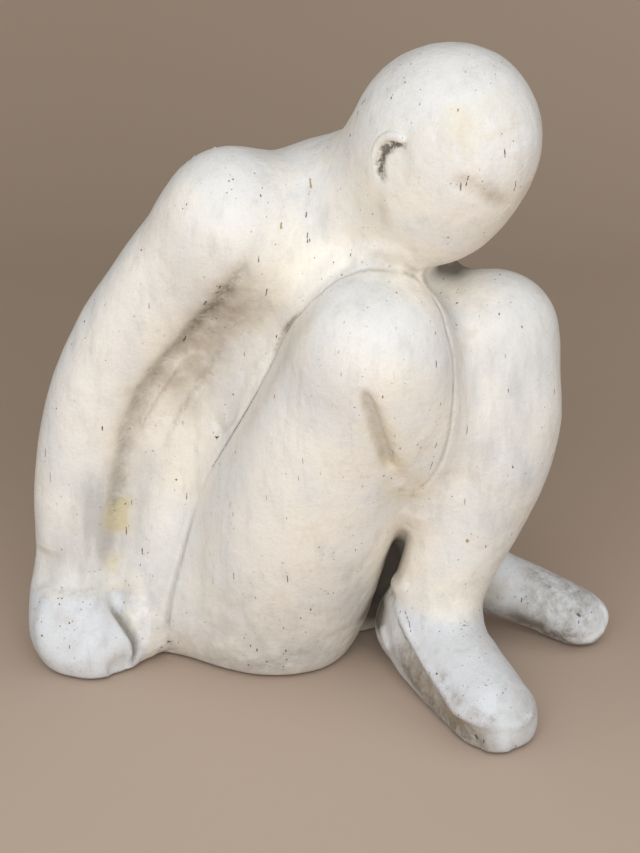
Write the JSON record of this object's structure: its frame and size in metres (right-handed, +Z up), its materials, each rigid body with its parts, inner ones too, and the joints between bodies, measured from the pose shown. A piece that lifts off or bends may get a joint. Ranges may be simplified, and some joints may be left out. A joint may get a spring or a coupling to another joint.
{
  "type": "seated figure sculpture",
  "caption": "Seated figure sculpture with its head bowed over drawn-up knees, shins crossed and hands propped behind the hips, cast in pinned sections.",
  "frame": {"origin": "on the ground under the middle of the figure's bounding box", "axes": "+Z up, the figure faces -Y, its right side is at -X"},
  "size_m": [0.4358, 0.4134, 0.5407],
  "materials": {
    "coated_casting": "satin mineral coat with pinholes",
    "worn_casting": "thin worn coat over rough casting",
    "dowel_steel": "drawn bar"
  },
  "bodies": {
    "root": {"head": "coated_casting", "chest": "coated_casting", "hips": "coated_casting", "right_arm": "coated_casting", "left_arm": "coated_casting", "right_thigh": "coated_casting", "left_thigh": "coated_casting", "right_shin": "coated_casting", "left_shin": "coated_casting", "right_ear": "coated_casting", "left_ear": "coated_casting", "right_hand": "worn_casting", "left_hand": "worn_casting", "right_foot": "worn_casting", "left_foot": "worn_casting", "neck_dowel": "dowel_steel", "right_waist_dowel": "dowel_steel", "left_waist_dowel": "dowel_steel", "right_shoulder_dowel": "dowel_steel", "left_shoulder_dowel": "dowel_steel", "right_wrist_dowel": "dowel_steel", "left_wrist_dowel": "dowel_steel", "right_hip_dowel": "dowel_steel", "left_hip_dowel": "dowel_steel", "right_knee_dowel": "dowel_steel", "left_knee_dowel": "dowel_steel", "right_ankle_dowel": "dowel_steel", "left_ankle_dowel": "dowel_steel"}
  },
  "joints": []
}
